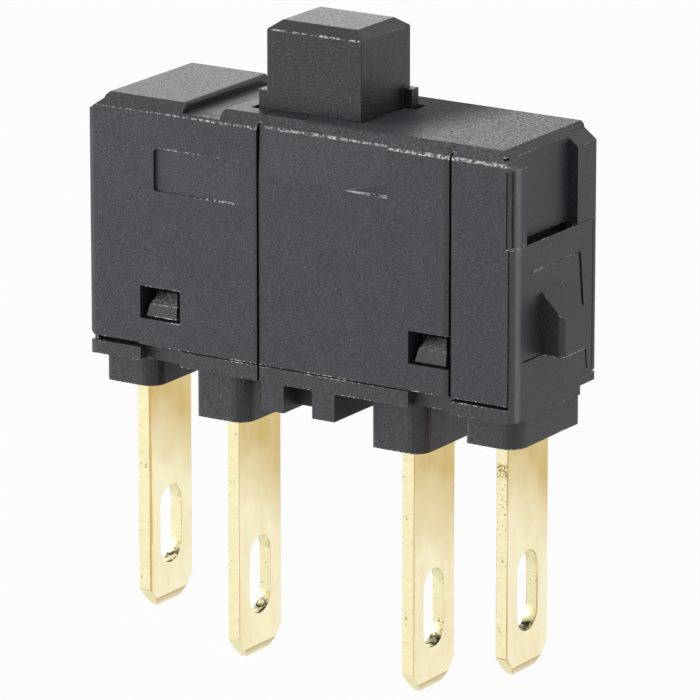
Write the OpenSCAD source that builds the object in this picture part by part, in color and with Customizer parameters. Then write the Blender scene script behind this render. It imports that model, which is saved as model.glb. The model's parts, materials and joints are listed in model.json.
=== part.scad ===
// Snap-action microswitch. A moulded cover snaps down over a moulded base that holds four blade
// terminals; a sliding plunger carries two toggle springs that throw a double-break contact bridge.
// Millimetres. +Z up, X along the length, Y from front to rear.
// Origin: centre of the base's underside, between the terminal bosses.

/* [Housing] */
// Length over the two end faces
housing_length = 18; // [17:0.1:20]
// Depth from front face to rear face
housing_depth = 5.75; // [5.5:0.05:7]
// Height of the cover's front face
front_height = 8.75; // [8.6:0.05:10]
// Wall of the cover's front and rear
side_wall = 0.6; // [0.5:0.05:0.7]
// Wall of the cover's top
top_wall = 0.9; // [0.7:0.05:1]
// Wall of the cover's and the base's ends
end_wall = 1; // [0.95:0.05:1.2]
// Width of the sloped edge along the top of the front
front_bevel_width = 0.42; // [0.2:0.02:0.6]
// Height of the sloped edge along the top of the front
front_bevel_height = 0.45; // [0.2:0.05:0.6]
// Width of the sloped edge at each end of the top
end_bevel_width = 0.66; // [0.3:0.02:0.8]
// Height of the sloped edge at each end of the top
end_bevel_height = 0.62; // [0.3:0.02:0.8]
// Reach along the length of the rounded upright corners, at the front right and the rear left
corner_length = 0.2; // [0.1:0.02:0.3]
// Reach along the depth of those rounded corners
corner_depth = 0.55; // [0.2:0.05:0.8]
// Reach of the other two upright corners, which are nearly sharp
sharp_corner = 0.04; // [0.03:0.01:0.1]
// Depth of the cover's wall where it wraps round those two corners
corner_wrap = 0.2; // [0.15:0.01:0.3]

/* [Cover details] */
// Left end of the channel across the top, from the centre
channel_left = -5; // [-5.6:0.1:-4.6]
// Right end of the channel across the top, from the centre
channel_right = -3.4; // [-3.8:0.1:-3.2]
// Depth of the channel across the top
channel_depth = 0.35; // [0.25:0.05:0.5]
// Rounding of the channel's two upper edges
channel_rounding = 0.16; // [0.08:0.02:0.24]
// Width of the two upright grooves in the front
groove_width = 0.1; // [0.06:0.01:0.3]
// Depth of the two upright grooves in the front
groove_depth = 0.2; // [0.05:0.05:0.3]
// Position of the left groove, from the centre
groove_left = -1.7; // [-2.2:0.1:-1.2]
// Width of the catch windows
window_width = 1.74; // [1.4:0.02:2]
// Height of the catch windows
window_height = 1.22; // [1:0.02:1.4]
// Height of the windows' lower edge above the cover's edge
window_sill = 0.99; // [0.8:0.01:1.2]
// Centre of the left windows
window_left = -5.96; // [-6.1:0.02:-5.7]
// Centre of the right windows
window_right = 5.54; // [5.4:0.02:5.9]
// Depth of the recess in each end of the cover
end_recess_depth = 0.38; // [0.2:0.01:0.5]
// Width of the rib in front of that recess
end_recess_front = 0.94; // [0.7:0.02:1.2]
// Width of the rib behind that recess
end_recess_rear = 1.31; // [1:0.01:1.6]
// Height of the slot at the foot of that recess
recess_slot = 0.1; // [0.04:0.01:0.14]
// Distance of the step in the end bevel from the end face, at the rear right and the front left
end_step_reach = 0.52; // [0.4:0.01:0.6]
// Height of that step
end_step_height = 0.1; // [0.06:0.01:0.2]
// Width of the two fine grooves beside each rounded corner
corner_groove_width = 0.05; // [0.04:0.01:0.08]
// Depth of those grooves
corner_groove_depth = 0.16; // [0.05:0.01:0.3]
// Distance between those grooves
corner_groove_pitch = 0.17; // [0.12:0.01:0.2]
// Reach of the nick in the top of each rounded corner
nick_reach = 0.56; // [0.4:0.02:0.6]
// Height of that nick
nick_height = 0.09; // [0.05:0.01:0.12]
// Left end of the field sunk in the left of the front
field_left = -6.2; // [-6.6:0.02:-6]
// Right end of that field
field_right = -2.5; // [-3:0.05:-2.2]
// Height of that field's lower edge above the cover's edge
field_floor = 5.84; // [5.6:0.02:6.4]
// Height of that field's upper edge above the cover's edge
field_top = 7.44; // [7.2:0.02:8]
// Depth of that field at its left end
field_depth = 0.1; // [0.04:0.02:0.2]
// Depth of that field at its right end
field_fade = 0.02; // [0.01:0.01:0.04]
// Right end of the sloped relief in the middle of the front
relief_right = 3.76; // [3.4:0.02:4.2]
// Height of that relief's lower edge above the cover's edge
relief_floor = 6.98; // [6.6:0.02:7.4]
// Depth of that relief at the top
relief_depth = 0.1; // [0.04:0.02:0.2]
// Length of the pit at the relief's lower right corner
pit_length = 1.8; // [1.2:0.1:2.4]
// Height of that pit
pit_height = 0.62; // [0.4:0.02:0.9]
// Right end of the raised part of the cover's lower edge
edge_step_x = -6.87; // [-6.95:0.01:-6.84]
// Height of that raised part
edge_step = 0.06; // [0.04:0.01:0.2]
// Size of the corner cut off that edge at the end face
edge_corner = 0.15; // [0.05:0.01:0.2]

/* [Base] */
// Thickness of the flange under the cover's edge
flange_thickness = 0.5; // [0.4:0.01:0.8]
// Gap between the flange and the cover's edge
edge_gap = 0.13; // [0.1:0.01:0.2]
// Height of the flange's raised part between the windows
flange_rise = 0.08; // [0.04:0.01:0.09]
// Height of the step under the flange's rear right corner
flange_step = 0.33; // [0.2:0.01:0.36]
// Reach of that step beside the boss
flange_step_reach = 0.32; // [0.1:0.02:0.5]
// Height of the floor above the cover's edge
floor_height = 3.2; // [3:0.1:3.4]
// Height of the end blocks above the cover's edge
end_block_height = 5.75; // [5.4:0.05:6]
// Clearance between the base and the cover
fit_gap = 0.04; // [0.02:0.01:0.08]
// Length of the boss round each terminal
boss_length = 2.14; // [1.8:0.02:2.3]
// Depth of the four bosses
boss_depth = 4.36; // [4:0.02:4.6]
// Rounding of the bosses' upright edges at the front right and the rear left
boss_rounding = 0.6; // [0.2:0.05:0.7]
// Rounding of the bosses' other two upright edges
boss_corner = 0.15; // [0.05:0.01:0.3]
// Height of the outer bosses below the underside
outer_boss_height = 1.18; // [0.8:0.02:1.8]
// Height of the inner bosses below the underside
inner_boss_height = 1.96; // [1.4:0.02:2.6]
// Thickness of the two ribs in the middle of the underside
rib_thickness = 0.95; // [0.6:0.05:1.2]
// Height of those ribs below the underside
rib_height = 1.05; // [0.6:0.05:1.4]
// Space between those ribs
rib_space = 1.22; // [1:0.02:1.4]
// Set-back of the web between those ribs
web_set_back = 1; // [0.6:0.1:1.2]
// Thickness of that web
web_thickness = 0.6; // [0.4:0.05:0.7]
// Depth of the flange's notches under the windows
notch_depth = 0.4; // [0.2:0.02:0.6]
// Depth of the flange's notches in line with the left groove
narrow_notch_depth = 0.3; // [0.1:0.02:0.5]
// Gap on each side of a catch in its window
catch_side_gap = 0.22; // [0.1:0.02:0.3]
// Set-back of the catches from the front face
catch_set_back = 0.1; // [0.02:0.02:0.3]
// Height of the catches' steep face
catch_face = 0.48; // [0.3:0.02:0.6]
// Height of the catches
catch_height = 0.85; // [0.7:0.05:0.95]
// Slant of the left side of each catch, seen from outside
catch_slant = 0.24; // [0.1:0.02:0.4]
// Taper of the right side of each catch above its steep face
catch_taper = 0.3; // [0.1:0.02:0.4]
// Depth of the pocket round each catch, behind the cover's wall
catch_pocket = 0.4; // [0.2:0.05:0.6]
// Width of the groove in the ledge behind the cover's end
ledge_groove_width = 0.7; // [0.5:0.05:0.75]
// Depth of that groove
ledge_groove_depth = 0.4; // [0.2:0.05:0.5]

/* [Snap tongues] */
// Height of the tongues' free edge above the cover's edge
tongue_height = 4.66; // [4.4:0.02:4.9]
// Width of the tongues at their free edge
tongue_top_width = 3.45; // [3:0.05:3.8]
// Width of the tongues at their root
tongue_root_width = 4.5; // [4.2:0.05:4.6]
// Thickness of the tongues
tongue_thickness = 0.4; // [0.3:0.02:0.46]
// Width of the slit behind the right tongue, and in front of the left one
slit_width = 0.09; // [0.06:0.01:0.12]
// Width of the fine slits along the tongues' other two edges
fine_slit = 0.03; // [0.02:0.01:0.05]
// Width of the latch wedges
latch_width = 1.64; // [1.4:0.02:2]
// Offset of the latch wedges from the middle of the depth, towards the front at the right
latch_offset = 0.04; // [0:0.01:0.2]
// Reach of the latch wedges beyond the end face
latch_reach = 0.87; // [0.5:0.01:0.95]
// Rounding of the latch wedges' front upright edge
latch_rounding = 0.2; // [0.05:0.01:0.3]
// Height of the latches' flat underside above the cover's edge
latch_sill = 1.48; // [1.3:0.02:1.6]
// Height of the latches' upright face
latch_face = 1.4; // [1.2:0.05:1.7]
// Height of the latches' sloped face
latch_slope = 0.95; // [0.6:0.05:1]
// Set-back of the tongues from the end face
tongue_set_back = 0.03; // [0.02:0.01:0.1]
// Height of the tongues' root above the cover's edge
tongue_root = 0.2; // [0.1:0.02:0.4]

/* [Plunger] */
// Length of the button
button_length = 4; // [3.6:0.1:4.4]
// Depth of the button
button_depth = 3.3; // [3:0.05:3.4]
// Height of the button above the cover
button_height = 3.25; // [2.8:0.05:3.8]
// Offset of the button from the centre of the housing
button_offset = -0.08; // [-0.2:0.02:0.2]
// Width of the button's top bevel
button_bevel = 0.42; // [0.2:0.02:0.5]
// Reach of the guide ribs beyond the button's ends
guide_reach = 0.36; // [0.3:0.02:0.5]
// Width of the guide ribs, which are flush with the button's rear at the right and its front at the left
guide_width = 0.48; // [0.4:0.02:0.6]
// Height of the guide ribs above the cover
guide_height = 0.69; // [0.4:0.01:1]
// Clearance of the cover's slot beyond the guide ribs' flush sides
guide_side_gap = 0.15; // [0.1:0.01:0.2]
// Clearance of the cover's slot beyond the guide ribs' ends
guide_end_gap = 0.24; // [0.1:0.02:0.3]
// Running clearance round the plunger
slide_gap = 0.08; // [0.05:0.01:0.1]
// Travel of the plunger
plunger_travel = 1.6; // [1.2:0.05:1.7]
// Reach of the shoulders that stop the plunger under the cover
shoulder_reach = 0.45; // [0.3:0.05:0.6]
// Height of those shoulders
shoulder_height = 1; // [0.6:0.05:1]
// Depth of those shoulders from front to rear
shoulder_depth = 2.7; // [2.4:0.1:2.8]
// Half length of the stem that passes through the bridge
stem_reach = 1.5; // [1.3:0.05:1.6]

/* [Terminals] */
// Thickness of the blades
blade_thickness = 0.48; // [0.4:0.02:0.6]
// Width of the blades
blade_width = 2.8; // [2.6:0.05:3]
// Distance of the inner blades from the centre
inner_blade_x = 3.77; // [3.6:0.01:3.9]
// Reach of the outer blades below the underside
outer_blade_reach = 10.05; // [8.6:0.05:12]
// Reach of the inner blades below the underside
inner_blade_reach = 11.37; // [9.4:0.01:13]
// Width of the wire slots
wire_slot_width = 1.4; // [1:0.05:1.6]
// Length of the wire slots
wire_slot_length = 3; // [2:0.1:3.6]
// Height of the wire slots' centre above the blade's tip
wire_slot_height = 3; // [2.6:0.05:3.4]
// Width of the corners cut off each blade's tip
tip_cut_width = 0.63; // [0.3:0.01:0.8]
// Height of the corners cut off each blade's tip
tip_cut_height = 0.75; // [0.4:0.05:0.9]
// Height of the bevels on the tip's two broad faces
tip_bevel_height = 0.32; // [0.2:0.02:0.4]
// Depth of those bevels
tip_bevel_depth = 0.12; // [0.04:0.02:0.16]

/* [Contacts] */
// Distance of the contact points from the centre
contact_x = 6.1; // [5.9:0.05:6.15]
// Radius of the fixed contacts
fixed_contact_radius = 0.75; // [0.6:0.05:0.8]
// Height of the fixed contacts
fixed_contact_height = 0.42; // [0.3:0.02:0.46]
// Radius of the moving contacts
moving_contact_radius = 0.65; // [0.5:0.05:0.75]
// Height of the moving contacts
moving_contact_height = 0.4; // [0.3:0.02:0.44]
// Radius of the contacts' rivet shanks
shank_radius = 0.32; // [0.25:0.01:0.4]
// Gap of an open contact
contact_gap = 0.7; // [0.6:0.02:0.76]
// Thickness of the contact bridge
bridge_thickness = 0.3; // [0.2:0.02:0.34]
// Width of the contact bridge over its two rails
bridge_width = 3.4; // [3.2:0.05:3.6]
// Width of the opening between the rails
bridge_opening = 2.1; // [2:0.05:2.2]

/* [Springs] */
// Wire of the return spring
return_wire = 0.3; // [0.2:0.02:0.34]
// Middle diameter of the return spring
return_diameter = 1.5; // [1.3:0.05:1.6]
// Turns of the return spring
return_turns = 4; // [3:0.5:4.5]
// Wire of the two snap springs
snap_wire = 0.18; // [0.12:0.02:0.2]
// Middle diameter of the two snap springs
snap_diameter = 0.8; // [0.6:0.05:0.9]
// Turns of the two snap springs
snap_turns = 8; // [5:1:9]

/* [Hidden] */
$fn = 48;

far = 50;        // longer than any part, for cuts that run right through
skin = 0.01;     // how far a cut starts outside the face that it opens

half_length = housing_length / 2;
half_depth = housing_depth / 2;

// Heights above the underside
edge_z = flange_thickness + edge_gap;
floor_z = edge_z + floor_height;
block_z = edge_z + end_block_height;
front_z = edge_z + front_height;
top_z = front_z + front_bevel_height;
ceiling_z = top_z - top_wall;
channel_z = top_z - channel_depth;
end_bevel_z = top_z - end_bevel_height;
web_height = 0.9 * rib_height;
sill_z = edge_z + window_sill;

// Inside of the housing
cavity_x = half_length - end_wall;
cavity_y = half_depth - side_wall;
front_face_end = half_length - corner_length;
core_x = cavity_x - fit_gap;
core_y = cavity_y - fit_gap;
outer_blade_x = cavity_x - blade_thickness / 2 - fit_gap;
wrap_y = half_depth - corner_wrap;
ledge_x = half_length - end_recess_depth;
recess_front_y = end_recess_front - half_depth;
recess_rear_y = half_depth - end_recess_rear;
tongue_x = half_length - tongue_set_back;
latch_front_y = -latch_offset - latch_width / 2;
groove_right = window_right + window_width / 2;

// Contact stack, from the floor up, with the plunger free
contact_rest_gap = 0.03;
shelf_z = floor_z + blade_thickness;
lower_fixed_z = shelf_z + fixed_contact_height;
bridge_z = lower_fixed_z + contact_rest_gap + contact_gap + moving_contact_height;
bridge_top_z = bridge_z + bridge_thickness;
upper_fixed_z = bridge_top_z + moving_contact_height + contact_rest_gap;
arm_z = upper_fixed_z + fixed_contact_height;
arm_top_z = arm_z + blade_thickness;
bridge_mid_z = bridge_z + bridge_thickness / 2;

// Plunger
stop_gap = 0.05;
stem_gap = 0.12;
pocket_gap = 0.25;
guide_x = button_length / 2 + guide_reach;
guide_y = button_depth / 2 - guide_width;
button_top_z = top_z + button_height;
button_bevel_height = 0.75 * button_bevel;
guide_top_z = top_z + guide_height;
shoulder_z = ceiling_z - stop_gap;
stem_y = bridge_opening / 2 - stem_gap;
yoke_thickness = 0.2;
yoke_width = 0.9;
yoke_reach = 0.42;
throw = (plunger_travel - contact_gap) / 2;
yoke_z = bridge_mid_z + throw;
foot_reach = 1.3;
foot_z = bridge_z - foot_reach;
foot_pocket_x = stem_reach + pocket_gap;
foot_pocket_y = stem_y + pocket_gap;
foot_pocket_z = foot_z - plunger_travel - pocket_gap;
spring_pocket_z = edge_z + 0.4;
spring_pocket_radius = (return_diameter + return_wire) / 2 + pocket_gap;
pin_radius = (return_diameter - return_wire) / 2 - stem_gap;
pin_height = 0.45;

// Bridge and its spring seats
contact_margin = 0.1;
bridge_end_x = contact_x + moving_contact_radius + contact_margin;
bridge_neck_x = 4.75;
bridge_end_width = 2.2;
seat_width = 0.6;
seat_slot = 0.3;
seat_ring = 0.35;
snap_start_x = stem_reach + yoke_reach;
snap_end_x = bridge_neck_x - seat_ring;

// Terminal arms
inner_shelf_x = contact_x + fixed_contact_radius + contact_margin;
outer_arm_x = contact_x - fixed_contact_radius - contact_margin;
arm_width = 2.2;
barb_gap = 0.02;
hold_down_x = outer_arm_x + 0.3;
hold_down_width = 0.6;

// ---- shared shapes ----

// Box between two corners
module block(low, high) {
    translate(low) cube(high - low);
}

// Rectangle with true round corners
module rounded_rectangle(length, width, radius) {
    square([length - 2 * radius, width], center = true);
    square([length, width - 2 * radius], center = true);
    for (x = [-1, 1], y = [-1, 1])
        translate([x * (length / 2 - radius), y * (width / 2 - radius)]) circle(radius);
}

// Outline in the XZ plane, pushed from y0 to y1
module along_y(y0, y1) {
    translate([0, y1, 0]) rotate([90, 0, 0]) linear_extrude(y1 - y0) children();
}

// Outline in the YZ plane, pushed from x0 to x1
module along_x(x0, x1) {
    translate([x0, 0, 0]) rotate([90, 0, 90]) linear_extrude(x1 - x0) children();
}

// A child made for the right end, and the same turned half round for the left end
module both_ends() {
    children();
    rotate(180) children();
}

// A child and its mirror image across the depth
module front_and_rear() {
    children();
    mirror([0, 1, 0]) children();
}

// Points of a rounded corner at (x, y), from the long side round to the end
function corner_points(x, y, reach_x, reach_y) = [
    for (a = [0 : 15 : 90])
        [x - sign(x) * reach_x * (1 - sin(a)), y - sign(y) * reach_y * (1 - cos(a))]
];
function reversed(list) = [for (i = [len(list) - 1 : -1 : 0]) list[i]];

// Rectangle rounded by reach_x and reach_y at the front right and the rear left, and by "other" elsewhere
module turned_plan(half_x, half_y, reach_x, reach_y, other) {
    polygon(concat(
        corner_points(half_x, -half_y, reach_x, reach_y),
        reversed(corner_points(half_x, half_y, other, other)),
        corner_points(-half_x, half_y, reach_x, reach_y),
        reversed(corner_points(-half_x, -half_y, other, other))
    ));
}

// The housing seen from above
module housing_plan() {
    turned_plan(half_length, half_depth, corner_length, corner_depth, sharp_corner);
}

// Round wire along a list of points; "across" is a direction that is never along the wire
module wire(path, radius, across) {
    sides = 8;
    last = len(path) - 1;
    function unit(v) = v / norm(v);
    rings = [
        for (i = [0 : last])
            let (
                ahead = unit(path[min(i + 1, last)] - path[max(i - 1, 0)]),
                u = unit(cross(ahead, across)),
                v = cross(ahead, u)
            )
            for (k = [0 : sides - 1])
                path[i] + radius * (cos(360 * k / sides) * u + sin(360 * k / sides) * v)
    ];
    walls = [
        for (i = [0 : last - 1], k = [0 : sides - 1])
            let (a = i * sides + k, b = i * sides + (k + 1) % sides)
            [a, b, b + sides, a + sides]
    ];
    polyhedron(rings, concat(
        walls,
        [[for (k = [sides - 1 : -1 : 0]) k]],
        [[for (k = [0 : sides - 1]) last * sides + k]]
    ));
}

// Height along a coil with closed ends: one flat turn at each end, even pitch between
function coil_height(turn, turns, length, wire_size) =
    turn < 1 ? turn * wire_size
    : turn > turns - 1 ? length - (turns - turn) * wire_size
    : wire_size + (turn - 1) * (length - 2 * wire_size) / (turns - 2);

// ---- cover ----

module cover_block() {
    intersection() {
        translate([0, 0, edge_z]) linear_extrude(top_z - edge_z) housing_plan();
        along_x(-half_length, half_length) polygon([
            [-half_depth, edge_z], [half_depth, edge_z], [half_depth, top_z],
            [front_bevel_width - half_depth, top_z], [-half_depth, front_z]
        ]);
        along_y(-half_depth, half_depth) polygon([
            [-half_length, edge_z], [half_length, edge_z], [half_length, end_bevel_z],
            [half_length - end_bevel_width, top_z], [end_bevel_width - half_length, top_z],
            [-half_length, end_bevel_z]
        ]);
    }
}

// Raised part of the cover's lower edge at the front left, with a corner of this size cut off
module raised_edge(corner) {
    raised_z = edge_z + edge_step;
    along_y(-far, 0) polygon([
        [-far, 0], [edge_step_x + edge_z, 0], [edge_step_x - edge_step, raised_z],
        [corner - half_length, raised_z], [-half_length, raised_z + corner], [-far, raised_z + corner]
    ]);
}

// Recess in the right end of the cover, open at the top, with the slot at its foot
module end_recess() {
    block([ledge_x, recess_front_y, block_z], [far, recess_rear_y, far]);
    block([0, recess_front_y, block_z - skin], [far, recess_rear_y, block_z + recess_slot]);
}

// Step in the right end's bevel, behind the recess
module end_step() {
    step_x = half_length - end_step_reach;
    step_z = end_bevel_z + end_bevel_height * end_step_reach / end_bevel_width - end_step_height;
    along_y(recess_rear_y - skin, far) polygon([
        [step_x - end_step_height / 2, top_z + skin], [step_x, step_z], [half_length, end_bevel_z],
        [far, end_bevel_z], [far, top_z + skin]
    ]);
}

// Nick in the top of the front right corner, and the two fine grooves below it
module corner_details() {
    nick_z = end_bevel_z + end_bevel_height / 2;
    block(
        [half_length - nick_reach, -far, nick_z],
        [far, front_bevel_width - half_depth, nick_z + nick_height]
    );
    for (x = [front_face_end - corner_groove_pitch / 2, front_face_end + corner_groove_pitch / 2])
        block([x, -far, block_z], [x + corner_groove_width, corner_groove_depth - half_depth, end_bevel_z]);
}

// Room for the right end block of the base; the cover wraps round it at the rear
module end_block_room() {
    block([cavity_x - skin, -cavity_y, 0], [far, cavity_y, block_z]);
    block([front_face_end, -far, 0], [far, wrap_y, block_z]);
}

module plunger_slot() {
    translate([button_offset, 0, 0]) linear_extrude(far) {
        square([button_length + 2 * slide_gap, button_depth + 2 * slide_gap], center = true);
        both_ends() translate([button_length / 2, guide_y - slide_gap])
            square([guide_reach + guide_end_gap, slide_gap + guide_width + guide_side_gap]);
    }
}

// Channel across the top, with its two upper edges rounded
module channel() {
    function upper_edge(x, side) = [
        for (a = [90 : -15 : 0])
            [x + side * channel_rounding * (1 - cos(a)), top_z - channel_rounding * (1 - sin(a))]
    ];
    along_y(-far, far) polygon(concat(
        [[channel_left - channel_rounding, far]], upper_edge(channel_left, -1), [[channel_left, channel_z]],
        [[channel_right, channel_z]], reversed(upper_edge(channel_right, 1)),
        [[channel_right + channel_rounding, far]]
    ));
}

module catch_windows() {
    for (x = [window_left, window_right])
        block([x - window_width / 2, -far, sill_z], [x + window_width / 2, far, sill_z + window_height]);
}

// Field sunk in the left of the front, deepest at its left end
module left_field() {
    corner = 0.12;
    intersection() {
        along_y(-far, 0) translate([(field_left + field_right) / 2, edge_z + (field_floor + field_top) / 2])
            rounded_rectangle(field_right - field_left, field_top - field_floor, corner);
        linear_extrude(far) polygon([
            [field_left - skin, -far], [field_right + skin, -far],
            [field_right + skin, field_fade - half_depth], [field_left - skin, field_depth - half_depth]
        ]);
    }
}

// Relief in the middle of the front: it gets deeper towards the top, above a small pit
module middle_relief() {
    relief_z = edge_z + relief_floor;
    along_x(groove_left, relief_right) polygon([
        [-half_depth, relief_z], [-far, relief_z], [-far, top_z + skin],
        [relief_depth - half_depth, top_z + skin]
    ]);
    translate([relief_right, relief_depth - half_depth, relief_z])
        rotate([atan(relief_depth / pit_height), 0, atan(relief_depth / pit_length)])
            block([-pit_length, -1, 0], [0, 0, pit_height]);
}

// Ribs under the ceiling that hold the upper terminal arms down
module hold_down_ribs() {
    both_ends() block(
        [hold_down_x, -cavity_y - skin, arm_top_z + fit_gap],
        [hold_down_x + hold_down_width, cavity_y + skin, ceiling_z + skin]
    );
}

module cover() {
    color([0.20, 0.20, 0.21]) union() {
        difference() {
            cover_block();
            block([-cavity_x, -cavity_y, 0], [cavity_x, cavity_y, ceiling_z]);
            both_ends() end_block_room();
            both_ends() end_recess();
            both_ends() end_step();
            both_ends() corner_details();
            raised_edge(edge_corner);
            rotate(180) raised_edge(fit_gap);
            plunger_slot();
            catch_windows();
            channel();
            for (x = [groove_left, groove_right])
                block(
                    [x - groove_width / 2, -far, -1],
                    [x + groove_width / 2, groove_depth - half_depth, far]
                );
            left_field();
            middle_relief();
        }
        hold_down_ribs();
    }
}

// ---- base ----

// The right snap tongue's outline, with the widths of the slits round it
module tongue_outline(fine, rear) {
    root_z = edge_z + tongue_root;
    top = edge_z + tongue_height + fine;
    polygon([
        [-tongue_root_width / 2 - fine, root_z], [tongue_root_width / 2 + rear, root_z],
        [tongue_top_width / 2 + rear, top], [-tongue_top_width / 2 - fine, top]
    ]);
}

module latch_wedge() {
    sill = edge_z + latch_sill;
    tip = half_length + latch_reach;
    root = tongue_x - tongue_thickness / 2;
    rear_y = latch_front_y + latch_width;
    intersection() {
        along_y(latch_front_y, rear_y) polygon([
            [root, sill], [tip, sill], [tip, sill + latch_face],
            [tongue_x, sill + latch_face + latch_slope], [root, sill + latch_face + latch_slope]
        ]);
        linear_extrude(far) polygon(concat(
            [[0, latch_front_y]], corner_points(tip, latch_front_y, latch_rounding, latch_rounding),
            [[tip, rear_y], [0, rear_y]]
        ));
    }
}

// Slits and hollow that free the right snap tongue; its front slit stops at the latch's underside
module tongue_cut() {
    sill = edge_z + latch_sill;
    difference() {
        along_x(cavity_x - skin, far) tongue_outline(fine_slit, slit_width);
        along_x(0, far) tongue_outline(0, 0);
        block([0, -far, 0], [far, 0, sill]);
    }
    block(
        [cavity_x, -tongue_top_width / 2, edge_z + tongue_root],
        [tongue_x - tongue_thickness, tongue_top_width / 2, edge_z + tongue_height + fine_slit]
    );
    intersection() {
        along_x(tongue_x, far) tongue_outline(fine_slit, slit_width);
        block([0, -far, sill], [far, far, far]);
    }
    // shallow line from the front slit to the latch
    intersection() {
        along_x(tongue_x - slit_width, far) tongue_outline(fine_slit, slit_width);
        block([0, -far, sill], [far, latch_front_y, sill + slit_width / 2]);
    }
}

module end_block() {
    intersection() {
        linear_extrude(block_z - barb_gap) housing_plan();
        union() {
            block([front_face_end + fit_gap, -far, 0], [far, wrap_y - fit_gap, far]);
            block([core_x - end_wall, -core_y, 0], [far, core_y, far]);
        }
    }
}

// Catch that fills a window of the cover at x
module catch_nose(x) {
    half_width = window_width / 2 - catch_side_gap;
    nose_y = half_depth - catch_set_back;
    root_y = core_y - catch_pocket - skin;
    low = sill_z + edge_gap - fit_gap;
    high = low + catch_height;
    intersection() {
        along_x(x - half_width, x + half_width) polygon([
            [-root_y, low], [-nose_y, low], [fit_gap - nose_y, low + catch_face],
            [-core_y, high], [-root_y, high]
        ]);
        along_y(-half_depth, 0) polygon([
            [x - half_width, low], [x + half_width, low], [x + half_width, low + catch_face],
            [x + half_width - catch_taper, high], [x - half_width + catch_slant, high]
        ]);
    }
}

module flange() {
    difference() {
        union() {
            linear_extrude(flange_thickness) housing_plan();
            // raised part between the windows
            block(
                [window_left + window_width / 2, -half_depth, 0],
                [window_right - window_width / 2, half_depth, flange_thickness + flange_rise]
            );
        }
        for (x = [window_left, window_right])
            front_and_rear() block(
                [x - window_width / 2, -far, -1], [x + window_width / 2, notch_depth - half_depth, far]
            );
        front_and_rear() block(
            [groove_left - groove_width / 2, -far, -1],
            [groove_left + groove_width / 2, narrow_notch_depth - half_depth, far]
        );
    }
}

// Rear right corner, which fills the space under the cover's raised edge
module rear_corner() {
    intersection() {
        linear_extrude(edge_z + edge_step - fit_gap) housing_plan();
        block([front_face_end + fit_gap, 0, 0], [far, far, far]);
    }
}

module boss(x, height) {
    translate([x, 0, -height]) linear_extrude(height + skin)
        turned_plan(boss_length / 2, boss_depth / 2, boss_rounding, boss_rounding, boss_corner);
}

module bosses() {
    both_ends() {
        boss(outer_blade_x, outer_boss_height);
        boss(inner_blade_x, inner_boss_height);
    }
}

// Two ribs across the underside and the web between them
module underside_ribs() {
    web_y = web_set_back - half_depth;
    both_ends() block(
        [rib_space / 2, -half_depth, -rib_height],
        [rib_space / 2 + rib_thickness, half_depth, skin]
    );
    front_and_rear() block(
        [-rib_space / 2 - skin, web_y, -web_height],
        [rib_space / 2 + skin, web_y + web_thickness, skin]
    );
}

module blade_hole(x) {
    block(
        [x - blade_thickness / 2 - barb_gap, -blade_width / 2 - barb_gap, -far],
        [x + blade_thickness / 2 + barb_gap, blade_width / 2 + barb_gap, far]
    );
}

module base() {
    color([0.22, 0.22, 0.23]) union() {
        difference() {
            union() {
                flange();
                block([-core_x, -core_y, flange_thickness - skin], [core_x, core_y, floor_z]);
                both_ends() end_block();
                rear_corner();
                bosses();
                underside_ribs();
            }
            for (x = [window_left, window_right])
                front_and_rear() block(
                    [x - window_width / 2, -far, sill_z],
                    [x + window_width / 2, catch_pocket - core_y, sill_z + window_height]
                );
            both_ends() {
                blade_hole(outer_blade_x);
                blade_hole(inner_blade_x);
                tongue_cut();
                // groove in the ledge below the cover's recess
                block(
                    [tongue_x - ledge_groove_width, recess_front_y, block_z - ledge_groove_depth],
                    [tongue_x, recess_rear_y, far]
                );
                block([0, -core_y - skin, floor_z], [core_x + fit_gap, core_y + skin, far]);
            }
            // step under the rear right corner
            block([outer_blade_x, boss_depth / 2, -1], [far, far, flange_step]);
            block(
                [outer_blade_x + boss_length / 2, boss_depth / 2 - flange_step_reach, -1],
                [far, far, flange_step]
            );
            // pocket for the plunger's foot and the return spring
            block([-foot_pocket_x, -foot_pocket_y, foot_pocket_z], [foot_pocket_x, foot_pocket_y, far]);
            translate([0, 0, spring_pocket_z]) cylinder(h = far, r = spring_pocket_radius);
        }
        both_ends() latch_wedge();
        for (x = [window_left, window_right])
            front_and_rear() catch_nose(x);
    }
}

// ---- plunger ----

module button() {
    hull() {
        translate([0, 0, button_top_z - button_bevel_height - skin]) linear_extrude(skin)
            square([button_length, button_depth], center = true);
        translate([0, 0, button_top_z - skin]) linear_extrude(skin)
            square([button_length - 2 * button_bevel, button_depth - 2 * button_bevel], center = true);
    }
    block(
        [-button_length / 2, -button_depth / 2, shoulder_z - shoulder_height],
        [button_length / 2, button_depth / 2, button_top_z - button_bevel_height]
    );
}

module plunger() {
    color([0.19, 0.19, 0.20]) translate([button_offset, 0, 0]) difference() {
        union() {
            button();
            both_ends() block(
                [0, guide_y, shoulder_z - shoulder_height],
                [guide_x, button_depth / 2, guide_top_z]
            );
            block(
                [-guide_x - shoulder_reach, -shoulder_depth / 2, shoulder_z - shoulder_height],
                [guide_x + shoulder_reach, shoulder_depth / 2, shoulder_z]
            );
            block([-stem_reach, -stem_y, foot_z], [stem_reach, stem_y, shoulder_z]);
            translate([-button_offset, 0, foot_z - pin_height])
                cylinder(h = pin_height + skin, r = pin_radius);
        }
        // slot that takes the spring yoke
        block(
            [-far, -yoke_width / 2 - barb_gap, yoke_z - yoke_thickness / 2 - barb_gap],
            [far, yoke_width / 2 + barb_gap, yoke_z + yoke_thickness / 2 + barb_gap]
        );
    }
}

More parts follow.
